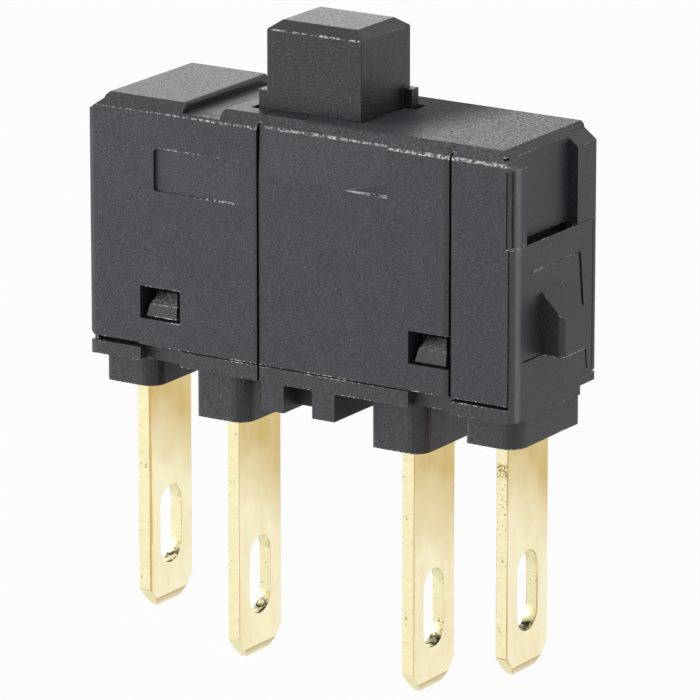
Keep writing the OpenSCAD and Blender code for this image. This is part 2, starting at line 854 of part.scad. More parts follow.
// Flat metal bar through the plunger's stem, with a nose at each end for a snap spring
module spring_yoke() {
    color([0.72, 0.72, 0.70]) block(
        [-snap_start_x, -yoke_width / 2, yoke_z - yoke_thickness / 2],
        [snap_start_x, yoke_width / 2, yoke_z + yoke_thickness / 2]
    );
}

// ---- springs ----

module return_spring() {
    base_z = spring_pocket_z + return_wire / 2 + skin;
    length = foot_z - return_wire / 2 - skin - base_z;
    steps = 16;
    color([0.75, 0.75, 0.76]) wire([
        for (i = [0 : steps * return_turns])
            let (a = 360 * i / steps)
            [
                return_diameter / 2 * cos(a), return_diameter / 2 * sin(a),
                base_z + coil_height(i / steps, return_turns, length, return_wire)
            ]
    ], return_wire / 2, [0, 0, 1]);
}

// Extension spring from the yoke's nose to the seat in the bridge, at the right end
module snap_spring() {
    start = [snap_start_x + snap_wire, 0, yoke_z];
    finish = [snap_end_x - snap_wire, 0, bridge_mid_z];
    along = finish - start;
    tilt = atan2(along[2], along[0]);
    length = norm(along);
    steps = 12;
    translate(start) rotate([0, -tilt, 0]) wire([
        for (i = [0 : steps * snap_turns])
            let (a = 360 * i / steps)
            [
                length * i / (steps * snap_turns),
                snap_diameter / 2 * cos(a), snap_diameter / 2 * sin(a)
            ]
    ], snap_wire / 2, [1, 0, 0]);
}

module snap_spring_left() { color([0.75, 0.75, 0.76]) mirror([1, 0, 0]) snap_spring(); }
module snap_spring_right() { color([0.75, 0.75, 0.76]) snap_spring(); }

// ---- contact bridge ----

module contact_bridge() {
    color([0.80, 0.62, 0.36]) translate([0, 0, bridge_z]) linear_extrude(bridge_thickness) difference() {
        union() {
            square([2 * bridge_neck_x, bridge_width], center = true);
            square([2 * bridge_end_x, bridge_end_width], center = true);
        }
        square([2 * snap_end_x, bridge_opening], center = true);
        for (side = [-1, 1], y = [-1, 1])
            translate([side * snap_end_x, y * (seat_width + bridge_opening) / 4])
                square([seat_slot, (bridge_opening - seat_width) / 2], center = true);
    }
}

module moving_contact(x, z) {
    color([0.85, 0.85, 0.84]) translate([x, 0, z])
        cylinder(h = moving_contact_height, r = moving_contact_radius);
}

module upper_contact_left() { moving_contact(-contact_x, bridge_top_z); }
module upper_contact_right() { moving_contact(contact_x, bridge_top_z); }
module lower_contact_left() { moving_contact(-contact_x, bridge_z - moving_contact_height); }
module lower_contact_right() { moving_contact(contact_x, bridge_z - moving_contact_height); }

// ---- terminals ----

// Blade with a wire slot and a tip narrowed on all four sides, from the tip up to "top", at distance x
module blade(x, reach, top) {
    tip = -reach;
    half = blade_width / 2;
    low_x = x - blade_thickness / 2;
    high_x = x + blade_thickness / 2;
    difference() {
        intersection() {
            along_x(low_x, high_x) polygon([
                [tip_cut_width - half, tip], [half - tip_cut_width, tip], [half, tip + tip_cut_height],
                [half, top], [-half, top], [-half, tip + tip_cut_height]
            ]);
            along_y(-half, half) polygon([
                [low_x + tip_bevel_depth, tip], [high_x - tip_bevel_depth, tip],
                [high_x, tip + tip_bevel_height], [high_x, top],
                [low_x, top], [low_x, tip + tip_bevel_height]
            ]);
        }
        along_x(x - 1, x + 1) translate([0, tip + wire_slot_height]) rotate(90)
            rounded_rectangle(wire_slot_length, wire_slot_width, wire_slot_width / 2 - skin / 10);
    }
}

// Normally closed terminal at the right end: up past the bridge, then inwards over it
module nc_terminal() {
    difference() {
        union() {
            blade(outer_blade_x, outer_blade_reach, floor_z);
            block(
                [outer_blade_x - blade_thickness / 2, -arm_width / 2, floor_z - skin],
                [outer_blade_x + blade_thickness / 2, arm_width / 2, arm_top_z]
            );
            block([outer_arm_x, -arm_width / 2, arm_z], [outer_blade_x, arm_width / 2, arm_top_z]);
        }
        translate([contact_x, 0, 0]) cylinder(h = far, r = shank_radius + barb_gap);
    }
}

// Normally open terminal at the right end: up through the floor, then outwards along it
module no_terminal() {
    difference() {
        union() {
            blade(inner_blade_x, inner_blade_reach, floor_z);
            block(
                [inner_blade_x - blade_thickness / 2, -arm_width / 2, floor_z - skin],
                [inner_blade_x + blade_thickness / 2, arm_width / 2, shelf_z]
            );
            block([inner_blade_x, -arm_width / 2, floor_z + skin], [inner_shelf_x, arm_width / 2, shelf_z]);
        }
        translate([contact_x, 0, 0]) cylinder(h = far, r = shank_radius + barb_gap);
    }
}

module nc_terminal_left() { color([0.90, 0.76, 0.45]) mirror([1, 0, 0]) nc_terminal(); }
module nc_terminal_right() { color([0.90, 0.76, 0.45]) nc_terminal(); }
module no_terminal_left() { color([0.90, 0.76, 0.45]) mirror([1, 0, 0]) no_terminal(); }
module no_terminal_right() { color([0.90, 0.76, 0.45]) no_terminal(); }

// Rivet contact: a head of fixed_contact_height on a shank that fills the metal's thickness
module rivet_contact(x, z, shank_up) {
    shank = blade_thickness - skin;
    color([0.86, 0.86, 0.85]) translate([x, 0, z]) {
        cylinder(h = fixed_contact_height, r = fixed_contact_radius);
        translate([0, 0, shank_up ? fixed_contact_height - skin : -shank])
            cylinder(h = shank + skin, r = shank_radius);
    }
}

module nc_contact_left() { rivet_contact(-contact_x, upper_fixed_z, true); }
module nc_contact_right() { rivet_contact(contact_x, upper_fixed_z, true); }
module no_contact_left() { rivet_contact(-contact_x, shelf_z, false); }
module no_contact_right() { rivet_contact(contact_x, shelf_z, false); }

cover();
base();
plunger();
spring_yoke();
return_spring();
snap_spring_left();
snap_spring_right();
contact_bridge();
nc_terminal_left();
nc_terminal_right();
no_terminal_left();
no_terminal_right();
nc_contact_left();
nc_contact_right();
no_contact_left();
no_contact_right();
upper_contact_left();
upper_contact_right();
lower_contact_left();
lower_contact_right();
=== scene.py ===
"""Snap-action microswitch: finishes, springs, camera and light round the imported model. Metres, +Z up."""
import json
from math import ceil, cos, pi, radians, sin

import bmesh
import bpy
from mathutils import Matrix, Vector


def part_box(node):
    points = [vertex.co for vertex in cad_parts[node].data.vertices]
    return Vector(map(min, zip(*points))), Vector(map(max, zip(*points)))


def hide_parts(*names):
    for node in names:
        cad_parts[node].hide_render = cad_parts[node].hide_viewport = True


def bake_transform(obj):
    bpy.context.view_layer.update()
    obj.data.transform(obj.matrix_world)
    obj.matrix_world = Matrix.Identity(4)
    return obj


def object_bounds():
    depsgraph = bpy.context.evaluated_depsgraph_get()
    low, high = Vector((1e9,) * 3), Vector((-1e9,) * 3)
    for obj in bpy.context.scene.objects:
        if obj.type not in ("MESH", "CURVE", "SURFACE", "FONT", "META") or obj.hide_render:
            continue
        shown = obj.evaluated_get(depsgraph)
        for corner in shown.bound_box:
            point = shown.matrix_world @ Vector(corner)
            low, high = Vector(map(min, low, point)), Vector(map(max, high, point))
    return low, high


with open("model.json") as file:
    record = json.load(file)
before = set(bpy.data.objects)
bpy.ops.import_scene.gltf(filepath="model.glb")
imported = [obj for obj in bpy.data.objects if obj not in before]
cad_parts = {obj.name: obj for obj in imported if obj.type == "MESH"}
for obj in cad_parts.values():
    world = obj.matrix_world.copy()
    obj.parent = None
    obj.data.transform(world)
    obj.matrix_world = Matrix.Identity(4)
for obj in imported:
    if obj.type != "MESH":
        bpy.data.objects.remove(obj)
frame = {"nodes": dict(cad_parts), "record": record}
cad_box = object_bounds()

MM = 0.001


# ---- node helpers ----

def new_material(name):
    material = bpy.data.materials.new(name)
    material.use_nodes = True
    nodes = material.node_tree.nodes
    nodes.clear()
    output = nodes.new("ShaderNodeOutputMaterial")
    shader = nodes.new("ShaderNodeBsdfPrincipled")
    material.node_tree.links.new(shader.outputs["BSDF"], output.inputs["Surface"])
    return material, material.node_tree, shader


def link(tree, source, target):
    tree.links.new(source, target)


def feed(tree, socket, value):
    """Sets a socket to a number or a colour, or links a node's output to it."""
    if isinstance(value, (int, float)):
        socket.default_value = value
    elif isinstance(value, tuple):
        socket.default_value = (*value, 1) if len(value) < len(socket.default_value) else value
    else:
        link(tree, value, socket)


def position(tree):
    return tree.nodes.new("ShaderNodeTexCoord").outputs["Object"]


def split(tree, vector):
    """X, Y and Z of a vector."""
    node = tree.nodes.new("ShaderNodeSeparateXYZ")
    link(tree, vector, node.inputs["Vector"])
    return node.outputs["X"], node.outputs["Y"], node.outputs["Z"]


def stretched(tree, scale, offset=(0, 0, 0)):
    """Object position, moved and scaled apart along X, Y and Z."""
    mapping = tree.nodes.new("ShaderNodeMapping")
    mapping.inputs["Scale"].default_value = scale
    mapping.inputs["Location"].default_value = offset
    link(tree, position(tree), mapping.inputs["Vector"])
    return mapping.outputs["Vector"]


def noise(tree, size, detail=2.0, roughness=0.5, vector=None):
    """Noise whose lumps are about "size" metres across."""
    node = tree.nodes.new("ShaderNodeTexNoise")
    node.inputs["Scale"].default_value = 1 / size
    node.inputs["Detail"].default_value = detail
    node.inputs["Roughness"].default_value = roughness
    link(tree, vector or position(tree), node.inputs["Vector"])
    return node.outputs["Fac"]


def fit(tree, value, low, high, to_low=0.0, to_high=1.0):
    """Maps low..high to to_low..to_high, and holds the value beyond them."""
    node = tree.nodes.new("ShaderNodeMapRange")
    node.inputs["From Min"].default_value = low
    node.inputs["From Max"].default_value = high
    node.inputs["To Min"].default_value = to_low
    node.inputs["To Max"].default_value = to_high
    link(tree, value, node.inputs["Value"])
    return node.outputs["Result"]


def math(tree, operation, a, b=0.0):
    node = tree.nodes.new("ShaderNodeMath")
    node.operation = operation
    feed(tree, node.inputs[0], a)
    feed(tree, node.inputs[1], b)
    return node.outputs["Value"]


def product(tree, *values):
    result = values[0]
    for value in values[1:]:
        result = math(tree, "MULTIPLY", result, value)
    return result


def mix(tree, factor, a, b, blend="MIX"):
    """Colour that goes from a to b as factor goes from 0 to 1."""
    node = tree.nodes.new("ShaderNodeMix")
    node.data_type = "RGBA"
    node.blend_type = blend
    feed(tree, node.inputs["Factor"], factor)
    feed(tree, node.inputs[6], a)
    feed(tree, node.inputs[7], b)
    return node.outputs[2]


def gray(tree, value):
    """Colour with the same value in each channel."""
    node = tree.nodes.new("ShaderNodeCombineColor")
    for socket in node.inputs:
        link(tree, value, socket)
    return node.outputs["Color"]


def bump(tree, shader, height, distance):
    node = tree.nodes.new("ShaderNodeBump")
    node.inputs["Distance"].default_value = distance
    link(tree, height, node.inputs["Height"])
    link(tree, node.outputs["Normal"], shader.inputs["Normal"])


def distance(tree, value, target):
    return math(tree, "ABSOLUTE", math(tree, "SUBTRACT", value, target))


def near(tree, value, target, reach):
    """1 where a coordinate is within reach of the target, fading to 0 at twice that."""
    return fit(tree, distance(tree, value, target), reach, 2 * reach, 1, 0)


def level_edges(tree, reach):
    """1 along edges that run level, 0 on open faces and along upright edges."""
    soft = tree.nodes.new("ShaderNodeBevel")
    soft.samples = 8
    soft.inputs["Radius"].default_value = reach
    flat = tree.nodes.new("ShaderNodeNewGeometry")
    change = tree.nodes.new("ShaderNodeVectorMath")
    change.operation = "SUBTRACT"
    link(tree, soft.outputs["Normal"], change.inputs[0])
    link(tree, flat.outputs["True Normal"], change.inputs[1])
    return math(tree, "ABSOLUTE", split(tree, change.outputs["Vector"])[2])


# ---- places and colours of the mouldings' wear, painted shade and painted glints ----

cover_low, cover_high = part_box("cover")
button_low, button_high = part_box("plunger")
FRONT = cover_low[1]
TOP = cover_high[2]
HOUSING_END = 9 * MM
BEVEL_HEIGHT = 0.45 * MM
BUTTON_BEVEL_HEIGHT = 0.315 * MM
RELIEF_LEFT = -1.5 * MM
RELIEF_RIGHT = 3.76 * MM
RELIEF_DEPTH = 0.085 * MM
RELIEF_RISE = 0.07 * MM
GROOVES = (-1.7 * MM, 6.29 * MM)

COVER = (0.033, 0.0315, 0.0415)
BASE = (0.037, 0.0355, 0.042)
BUTTON = (0.0188, 0.0178, 0.0245)
SPECK = (0.13, 0.13, 0.135)
RUBBED = (0.085, 0.084, 0.087)
RUBBED_PALE = (0.26, 0.26, 0.265)
# painted shade beside the front's upright grooves
GROOVE_PAINTED_SHADE = (0.008, 0.008, 0.01)
# pale torn burrs and painted glints along level edges
BURR_AND_GLINT_WHITE = (0.82, 0.82, 0.83)
CRUMB = (0.3, 0.3, 0.31)
DENT = (0.012, 0.012, 0.014)
# painted glints on the right end of the top
PAINTED_GLINT_WHITE = (0.7, 0.7, 0.7)


# ---- places and colours on the blades ----

BLADE_HALF_WIDTH = 1.4 * MM
SLOT_FOOT = 1.62 * MM
BURR_WIDTHS = (0.2 * MM, 0.06 * MM, 0.1 * MM, 0.05 * MM)

GOLD_LOW = (1.0, 0.91, 0.62)
# painted shade up the blade, towards the housing
GOLD_SHADE_HIGH = (0.68, 0.505, 0.193)
GOLD_CLOUD = (0.85, 0.71, 0.40)
# painted shade on the down-facing facets at the tip
GOLD_FACET_SHADE = (0.50, 0.37, 0.13)
GOLD_BURR = (0.70, 0.43, 0.08)
GOLD_EDGE = (0.90, 0.83, 0.54)
GOLD_EDGE_DEEP = (0.82, 0.75, 0.45)
GOLD_TEAR = (0.42, 0.29, 0.12)
GOLD_PIT = (0.36, 0.20, 0.05)
GOLD_SLOT_DARK = (0.10, 0.085, 0.06)
GOLD_BORDER = (0.86, 0.72, 0.40)
GOLD_BORDER_BROWN = (0.50, 0.35, 0.13)


# ---- materials ----

def rub_corners(tree, base):
    """Scuffed band on the end faces beside the front corners, palest at the very corner."""
    x, y, _ = split(tree, position(tree))
    aside = math(tree, "ABSOLUTE", x)
    front = fit(tree, math(tree, "SUBTRACT", y, FRONT), 0.4 * MM, 0.62 * MM, 1, 0)
    scuff = fit(tree, noise(tree, 0.1 * MM, 3, 0.6, stretched(tree, (1, 1, 0.1))), 0.35, 0.65, 0.6, 1)
    for inset, fade, color in ((0.19 * MM, 0.02 * MM, RUBBED), (0.05 * MM, 0.03 * MM, RUBBED_PALE)):
        band = fit(tree, aside, HOUSING_END - inset, HOUSING_END - inset + fade)
        base = mix(tree, product(tree, band, front, scuff), base, color)
    return base


def paint_groove_shade(tree, base):
    """Painted shade on the flanks of the front's two upright grooves.
    The bands also run, faintly, across the top and down the rear."""
    x, _, _ = split(tree, position(tree))
    for groove in GROOVES:
        painted_shade = fit(tree, distance(tree, x, groove), 0.05 * MM, 0.22 * MM, 1, 0)
        base = mix(tree, painted_shade, base, GROOVE_PAINTED_SHADE)
    return base


def burrs_and_painted_glints(tree, burr_and_glint_lines, clean_top):
    """1 on pale flecks along level edges: partly torn burrs, partly painted glints where the edges catch the
    light.

    The lines given are (left, right, y, z, share) of edges along X, where the flecks run together towards the
    right.
    clean_top keeps the flecks off the top, apart from its front edge and its right end."""
    x, y, z = split(tree, position(tree))
    torn = noise(tree, 0.13 * MM, 4, 0.75)
    patches = noise(tree, 1.5 * MM, 2, 0.5, stretched(tree, (1, 1, 1), (0.003, 0, 0)))
    amount = math(tree, "ADD", math(tree, "MULTIPLY", patches, 0.7), torn)
    edge = level_edges(tree, 0.07 * MM)
    flecks = product(tree, fit(tree, edge, 0.05, 0.3), fit(tree, amount, 0.9, 0.98))
    if clean_top:
        clean = product(
            tree,
            fit(tree, z, TOP - 0.9 * MM, TOP - 0.8 * MM),
            fit(tree, x, 6.5 * MM, 7.5 * MM, 1, 0),
            fit(tree, y, FRONT + 0.3 * MM, FRONT + 0.4 * MM),
        )
        flecks = product(tree, flecks, math(tree, "SUBTRACT", 1.0, clean))
    # painted glint lines where level edges catch the light, with torn burrs along them
    for left, right, line_y, line_z, share in burr_and_glint_lines:
        along = fit(tree, x, cover_low[0], 2 * MM, 0.3 * share, 0.85 * share)
        thick = product(tree, along, fit(tree, patches, 0.35, 0.65, 0.5, 1), 0.088 * MM)
        within = product(tree, fit(tree, x, left, left + 0.1 * MM), fit(tree, x, right - 0.02 * MM, right, 1, 0))
        loose = math(tree, "ADD", torn, math(tree, "MULTIPLY", along, 0.125))
        away = math(tree, "MAXIMUM", distance(tree, y, line_y), distance(tree, z, line_z))
        band = fit(tree, math(tree, "DIVIDE", away, thick), 0.7, 1.2, 1, 0)
        flecks = math(tree, "MAXIMUM", flecks, product(tree, band, within, fit(tree, loose, 0.55, 0.65)))
    return flecks


def tear_slopes(tree, base):
    """Pale crumbs on the faces that lean back from the front, such as the tops of the catches."""
    _, face_y, face_z = split(tree, tree.nodes.new("ShaderNodeNewGeometry").outputs["True Normal"])
    ahead = math(tree, "MULTIPLY", face_y, -1.0)
    slope = product(tree, fit(tree, face_z, 0.25, 0.3), fit(tree, ahead, 0.3, 0.35))
    crumbs = fit(tree, noise(tree, 0.09 * MM, 2, 0.7), 0.42, 0.66, 0.12, 1)
    return mix(tree, product(tree, slope, crumbs), base, CRUMB)


def matt_top(tree, base, rough):
    """Top that is matt beside the plunger and smoother towards the right end, where painted white glints show.
    The bevel in front of it is dented and grained. Gives the new colour and roughness."""
    x, y, z = split(tree, position(tree))
    level = product(tree, fit(tree, z, TOP - 0.1 * MM, TOP - 0.05 * MM), fit(tree, x, 0, 0.1 * MM))
    slant = math(tree, "ADD", x, math(tree, "MULTIPLY", y, -0.2))
    dull = fit(tree, slant, 3.2 * MM, 5.6 * MM, 0.63, 0.24)
    pitted = fit(tree, noise(tree, 0.1 * MM, 2, 0.6), 0.3, 0.7, -0.1, 0.1)
    rough = math(tree, "ADD", rough, product(tree, level, math(tree, "ADD", product(tree, dull, dull), pitted)))

    bevel = product(
        tree,
        fit(tree, z, TOP - 0.44 * MM, TOP - 0.4 * MM),
        fit(tree, z, TOP - 0.04 * MM, TOP, 1, 0),
        fit(tree, y, FRONT + 0.7 * MM, FRONT + 0.8 * MM, 1, 0),
    )
    dents = fit(tree, noise(tree, 0.17 * MM, 3, 0.7), 0.42, 0.56)
    dents = product(tree, dents, fit(tree, x, -2 * MM, 4 * MM, 0.8, 0.2))
    base = mix(tree, product(tree, bevel, dents), base, DENT)
    uneven = fit(tree, noise(tree, 0.14 * MM, 3, 0.7), 0.3, 0.7, -0.15, 0.25)
    rough = math(tree, "ADD", rough, product(tree, bevel, uneven))
    pale = fit(tree, noise(tree, 0.1 * MM, 3, 0.7), 0.45, 0.65)
    pale = product(tree, bevel, pale, fit(tree, x, -4 * MM, 5 * MM, 0.4, 1))
    base = mix(tree, math(tree, "MULTIPLY", pale, 0.32), base, CRUMB)

    # painted glints: white grains on the top's right end
    painted_glints = fit(tree, noise(tree, 0.12 * MM, 1, 0.5), 0.7, 0.73)
    painted_glints = product(tree, level, painted_glints, fit(tree, x, 5 * MM, 8 * MM))
    return mix(tree, painted_glints, base, PAINTED_GLINT_WHITE), rough


def plastic(name, color, roughness, burr_and_glint_lines=(), groove_shade=False, rubbed=False, has_top=False, torn_slopes=False):
    """Moulding with spark-eroded grain, slow mottling, pale specks, and level edges with torn burrs and painted
    glints.
    The last four switch on the painted shade beside the grooves, rub_corners, matt_top and tear_slopes."""
    material, tree, shader = new_material(name)
    mottle = noise(tree, 1.4 * MM, 4, 0.6)
    grain = noise(tree, 0.065 * MM, 2, 0.6)
    tone = product(tree, fit(tree, mottle, 0.3, 0.7, 0.9, 1.1), fit(tree, grain, 0.32, 0.68, 0.45, 1.55))
    base = mix(tree, 1.0, color, gray(tree, tone), "MULTIPLY")
    base = mix(tree, fit(tree, noise(tree, 0.085 * MM, 1, 0.5), 0.72, 0.8), base, SPECK)
    if rubbed:
        base = rub_corners(tree, base)
    # painted shade beside the front's grooves
    if groove_shade:
        base = paint_groove_shade(tree, base)
    # pale flecks on level edges: torn burrs and painted glints
    flecks = burrs_and_painted_glints(tree, burr_and_glint_lines, clean_top=has_top)
    base = mix(tree, flecks, base, BURR_AND_GLINT_WHITE)
    if torn_slopes:
        base = tear_slopes(tree, base)
    rough = fit(tree, grain, 0.3, 0.7, roughness - 0.1, roughness + 0.12)
    if has_top:
        base, rough = matt_top(tree, base, rough)
    link(tree, base, shader.inputs["Base Color"])
    link(tree, rough, shader.inputs["Roughness"])
    shader.inputs["IOR"].default_value = 1.5
    bump(tree, shader, math(tree, "ADD", grain, math(tree, "MULTIPLY", flecks, 1.5)), 0.01 * MM)
    return material


def metal(name, color, roughness, streak=(1, 1, 1)):
    """Satin metal with fine streaks and slow changes of tone."""
    material, tree, shader = new_material(name)
    shader.inputs["Metallic"].default_value = 1.0
    lines = noise(tree, 0.08 * MM, 3, 0.6, stretched(tree, streak))
    tone = noise(tree, 2.2 * MM, 2, 0.5)
    base = mix(tree, fit(tree, tone, 0.35, 0.65), tuple(0.9 * c for c in color), color)
    link(tree, base, shader.inputs["Base Color"])
    link(tree, fit(tree, lines, 0.3, 0.7, roughness - 0.05, roughness + 0.07), shader.inputs["Roughness"])
    bump(tree, shader, lines, 0.0015 * MM)
    return material


def gold_face(tree, tip, burr):
    """Broad face of a blade: darker towards the housing by painted shade, with a brown line as wide as "burr" at
    its front edge.
    """
    _, y, z = split(tree, position(tree))
    _, _, face_z = split(tree, tree.nodes.new("ShaderNodeNewGeometry").outputs["True Normal"])

    # painted shade: slow darkening up the blade towards the housing, drifting across it
    drift = math(tree, "ADD", z, math(tree, "MULTIPLY", y, 0.5))
    wave = math(tree, "MULTIPLY", fit(tree, noise(tree, 3 * MM, 2, 0.5), 0.3, 0.7, -1, 1), 0.7 * MM)
    drift = math(tree, "ADD", drift, wave)
    face = mix(tree, fit(tree, drift, tip + 5 * MM, tip + 8 * MM), GOLD_LOW, GOLD_SHADE_HIGH)
    cloud = noise(tree, 0.9 * MM, 3, 0.55, stretched(tree, (1, 1, 0.4)))
    face = mix(tree, fit(tree, cloud, 0.4, 0.7, 0, 0.45), face, GOLD_CLOUD)

    # painted shade on the facets that face down at the tip, deepest at their top
    down = fit(tree, face_z, -0.25, -0.15, 1, 0)
    facet_shade = product(tree, down, fit(tree, z, tip + 0.05 * MM, tip + 0.35 * MM, 0.35, 1))
    face = mix(tree, facet_shade, face, GOLD_FACET_SHADE)

    ragged = noise(tree, 0.5 * MM, 3, 0.6, stretched(tree, (1, 1, 0.3)))
    width = fit(tree, ragged, 0.35, 0.65, 0.55 * burr, burr)
    ahead = math(tree, "DIVIDE", math(tree, "SUBTRACT", y, -BLADE_HALF_WIDTH), width)
    return mix(tree, fit(tree, ahead, 0.8, 1.1, 0.85, 0), face, GOLD_BURR)


def gold_edge_color(tree, tip, drag, pitted):
    """Cut edge of a blade: drag marks across the thickness and small dark tears, and pits on one blade."""
    _, _, z = split(tree, position(tree))
    edge = mix(tree, fit(tree, drag, 0.35, 0.65), GOLD_EDGE_DEEP, GOLD_EDGE)
    tear = product(
        tree,
        fit(tree, noise(tree, 0.13 * MM, 2, 0.6), 0.62, 0.68),
        fit(tree, noise(tree, 1.3 * MM, 1, 0.5), 0.5, 0.62),
    )
    edge = mix(tree, tear, edge, GOLD_TEAR)
    if pitted:
        dots = fit(tree, noise(tree, 0.06 * MM, 2, 0.6), 0.47, 0.53)
        patch = product(tree, near(tree, z, tip + 7.8 * MM, 0.17 * MM), dots)
        sparse = fit(tree, noise(tree, 0.1 * MM, 1, 0.5), 0.64, 0.67)
        below = product(tree, near(tree, z, tip + 6.4 * MM, 0.6 * MM), sparse)
        edge = mix(tree, math(tree, "MAXIMUM", patch, below), edge, GOLD_PIT)
    return edge


def gold_plate(name, tip, burr, pitted):
    """Plated brass blade: smooth broad faces, bright torn cut edges, and dark patches at the foot of its wire
    slot.
    tip is the height of the blade's end."""
    material, tree, shader = new_material(name)
    shader.inputs["Metallic"].default_value = 1.0
    _, y, z = split(tree, position(tree))
    face_x, _, _ = split(tree, tree.nodes.new("ShaderNodeNewGeometry").outputs["True Normal"])
    cut_edge = fit(tree, math(tree, "ABSOLUTE", face_x), 0.25, 0.35, 1, 0)
    drag = noise(tree, 0.1 * MM, 3, 0.65, stretched(tree, (0.25, 0.25, 1)))
    base = mix(tree, cut_edge, gold_face(tree, tip, burr), gold_edge_color(tree, tip, drag, pitted))
    slot_dark = product(
        tree,
        cut_edge,
        near(tree, z, tip + SLOT_FOOT, 0.22 * MM),
        near(tree, y, 0.0, 0.45 * MM),
        fit(tree, noise(tree, 0.3 * MM, 2, 0.6), 0.47, 0.53),
    )
    base = mix(tree, slot_dark, base, GOLD_SLOT_DARK)
    link(tree, base, shader.inputs["Base Color"])
    lines = noise(tree, 0.07 * MM, 3, 0.6, stretched(tree, (1, 1, 0.08)))
    rough = math(tree, "ADD", fit(tree, lines, 0.3, 0.7, 0.22, 0.27), math(tree, "MULTIPLY", cut_edge, 0.12))
    link(tree, rough, shader.inputs["Roughness"])
    height = math(tree, "ADD", math(tree, "MULTIPLY", lines, 0.05), product(tree, cut_edge, drag))
    bump(tree, shader, height, 0.008 * MM)
    return material


def gold_burr(name):
    """Narrow rounded border between a blade's broad face and its cut edge, brown in places."""
    material, tree, shader = new_material(name)
    shader.inputs["Metallic"].default_value = 1.0
    broken = fit(tree, noise(tree, 0.6 * MM, 3, 0.6, stretched(tree, (1, 1, 0.35))), 0.42, 0.6)
    link(tree, mix(tree, broken, GOLD_BORDER, GOLD_BORDER_BROWN), shader.inputs["Base Color"])
    shader.inputs["Roughness"].default_value = 0.32
    bump(tree, shader, noise(tree, 0.06 * MM, 2, 0.5), 0.003 * MM)
    return material


BEVEL_FOOT = TOP - BEVEL_HEIGHT
FINISHES = {
    "cover_plastic": plastic(
        "cover_plastic", COVER, 0.43,
        burr_and_glint_lines=[
            (-HOUSING_END, HOUSING_END, FRONT, BEVEL_FOOT, 1),
            (RELIEF_LEFT, RELIEF_RIGHT, FRONT + RELIEF_DEPTH, BEVEL_FOOT + RELIEF_RISE, 1),
        ],
        groove_shade=True, rubbed=True, has_top=True,
    ),
    "base_plastic": plastic("base_plastic", BASE, 0.44, rubbed=True, torn_slopes=True),
    "plunger_plastic": plastic(
        "plunger_plastic", BUTTON, 0.4,
        burr_and_glint_lines=[(button_low[0], button_high[0], button_low[1], button_high[2] - BUTTON_BEVEL_HEIGHT, 0.75)],
    ),
    "spring_steel": metal("spring_steel", (0.62, 0.62, 0.63), 0.28),
    "bridge_copper": metal("bridge_copper", (0.86, 0.60, 0.36), 0.3, (0.1, 1, 1)),
    "contact_silver": metal("contact_silver", (0.86, 0.86, 0.85), 0.22),
}
gold_edge = gold_burr("gold_edge")

blades = [part["node"] for part in frame["record"]["subparts"] if part["material_slot"] == "terminal_brass"]
blades = sorted(blades, key=lambda node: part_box(node)[0][0])


def blade_finish(node):
    """Gold for one blade, from the left: the first has the widest burr line, the last is pitted."""
    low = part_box(node)[0]
    return gold_plate(f"gold_{node}", low[2], BURR_WIDTHS[blades.index(node)], node == blades[-1])


EDGE_RADIUS = {
    "cover_plastic": 0.045 * MM,
    "base_plastic": 0.055 * MM,
    "plunger_plastic": 0.09 * MM,
    "terminal_brass": 0.035 * MM,
}


def finish_nodes():
    """Gives each CAD node the finish of its slot, and rounds its sharp edges."""
    slots = {part["node"]: part["material_slot"] for part in frame["record"]["subparts"]}
    for name, node in frame["nodes"].items():
        slot = slots[name]
        node.data.materials.clear()
        node.data.materials.append(blade_finish(name) if slot == "terminal_brass" else FINISHES[slot])
        if slot in EDGE_RADIUS:
            joined = node.modifiers.new("joined", "WELD")
            joined.merge_threshold = 0.001 * MM
            flat = node.modifiers.new("flat", "DECIMATE")
            flat.decimate_type = "DISSOLVE"
            flat.angle_limit = radians(0.5)
            rounded = node.modifiers.new("rounded", "BEVEL")
            rounded.width = EDGE_RADIUS[slot]
            rounded.segments = 2
            rounded.limit_method = "ANGLE"
            rounded.angle_limit = radians(25)
            rounded.harden_normals = True
            if slot == "terminal_brass":
                node.data.materials.append(gold_edge)
                rounded.material = 1


finish_nodes()


# ---- springs ----

RETURN_WIRE = 0.15 * MM
RETURN_TURNS = 4
SNAP_WIRE = 0.08 * MM
SNAP_PITCH = 2.6 * SNAP_WIRE
HOOK_LENGTH = 0.25 * MM
STEPS_PER_TURN = 28


def tube(name, path, radius, sides=14):
    """Round wire along a list of points, with closed ends."""
    mesh = bpy.data.meshes.new(name)
    shape = bmesh.new()
    rings = []
    side = Vector((0.3, 0.2, 1)).normalized()
    last = len(path) - 1
    for i, point in enumerate(path):
        ahead = (path[min(i + 1, last)] - path[max(i - 1, 0)]).normalized()
        side = (side - ahead * side.dot(ahead)).normalized()
        across = ahead.cross(side)
        rings.append([
            shape.verts.new(point + radius * (cos(2 * pi * k / sides) * side + sin(2 * pi * k / sides) * across))
            for k in range(sides)
        ])
    for a, b in zip(rings, rings[1:]):
        for k in range(sides):
            shape.faces.new((a[k], a[(k + 1) % sides], b[(k + 1) % sides], b[k])).smooth = True
    shape.faces.new(reversed(rings[0]))
    shape.faces.new(rings[-1])
    bmesh.ops.recalc_face_normals(shape, faces=shape.faces)
    shape.to_mesh(mesh)
    shape.free()
    piece = bpy.data.objects.new(name, mesh)
    bpy.context.scene.collection.objects.link(piece)
    mesh.materials.append(FINISHES["spring_steel"])
    return piece


